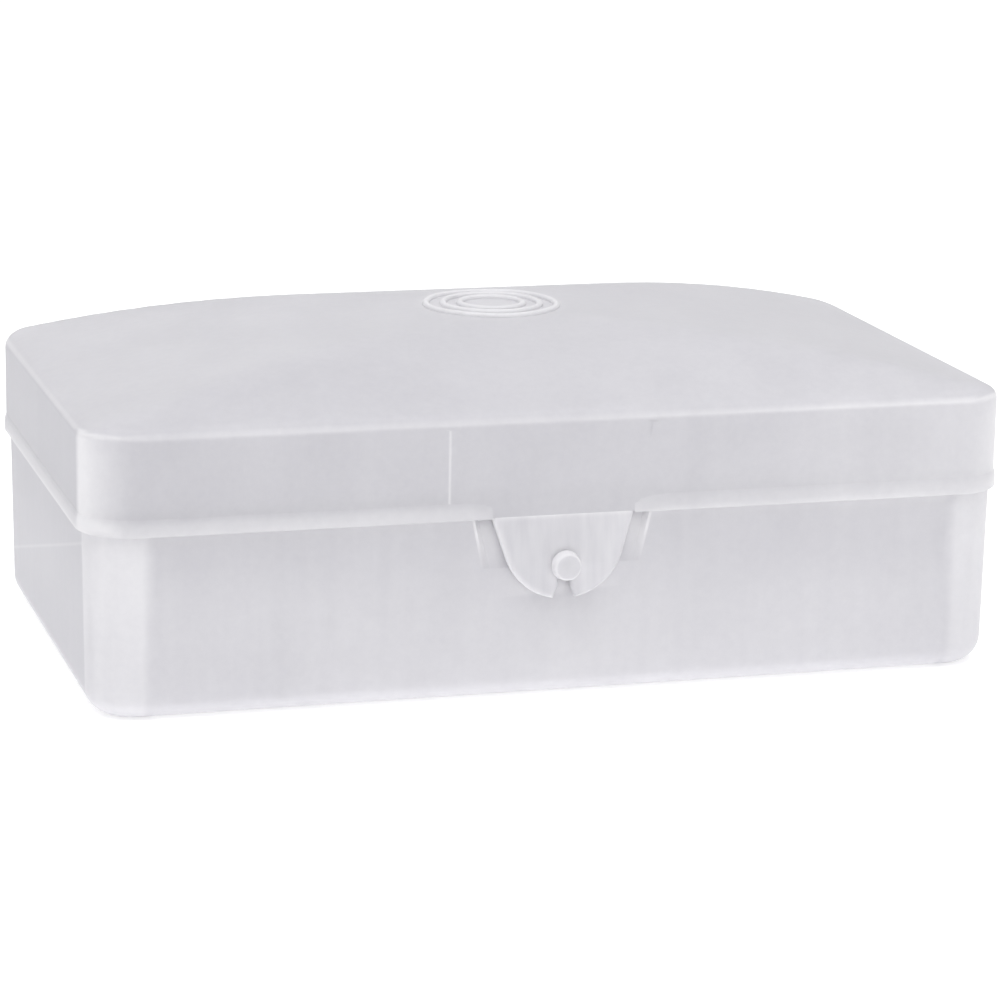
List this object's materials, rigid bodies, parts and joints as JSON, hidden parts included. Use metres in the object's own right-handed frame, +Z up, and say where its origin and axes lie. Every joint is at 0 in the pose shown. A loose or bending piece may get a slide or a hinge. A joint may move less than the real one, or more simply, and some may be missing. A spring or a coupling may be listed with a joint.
{
  "type": "travel soap box",
  "caption": "Small rectangular travel box of translucent plastic for a bar of soap, with a domed lid hinged at the back and a tongue that drops over a stud at the front.",
  "frame": {"origin": "middle of the flat resting face under the base", "axes": "+X along the width, +Z up, -Y to the front where the latch is; the hinge is at +Y"},
  "size_m": [0.105, 0.067, 0.0388],
  "materials": {
    "base_polypropylene": "frosted translucent, moulded",
    "lid_polypropylene": "frosted translucent, moulded"
  },
  "bodies": {
    "base": {"base_shell": "base_polypropylene", "seat_lip": "base_polypropylene", "drain_ribs": "base_polypropylene", "latch_stud": "base_polypropylene", "hinge_ears": "base_polypropylene", "hinge_pins": "base_polypropylene"},
    "lid": {"lid_shell": "lid_polypropylene", "lid_rim": "lid_polypropylene", "lid_rings": "lid_polypropylene", "latch_tongue": "lid_polypropylene", "hinge_knuckles": "lid_polypropylene"}
  },
  "joints": [
    {"name": "lid_hinge", "type": "hinge", "parent": "base", "child": "lid", "pos_m": [0, 0.0326, 0.0187], "axis": [-1, 0, 0], "range_deg": [0, 170]}
  ]
}
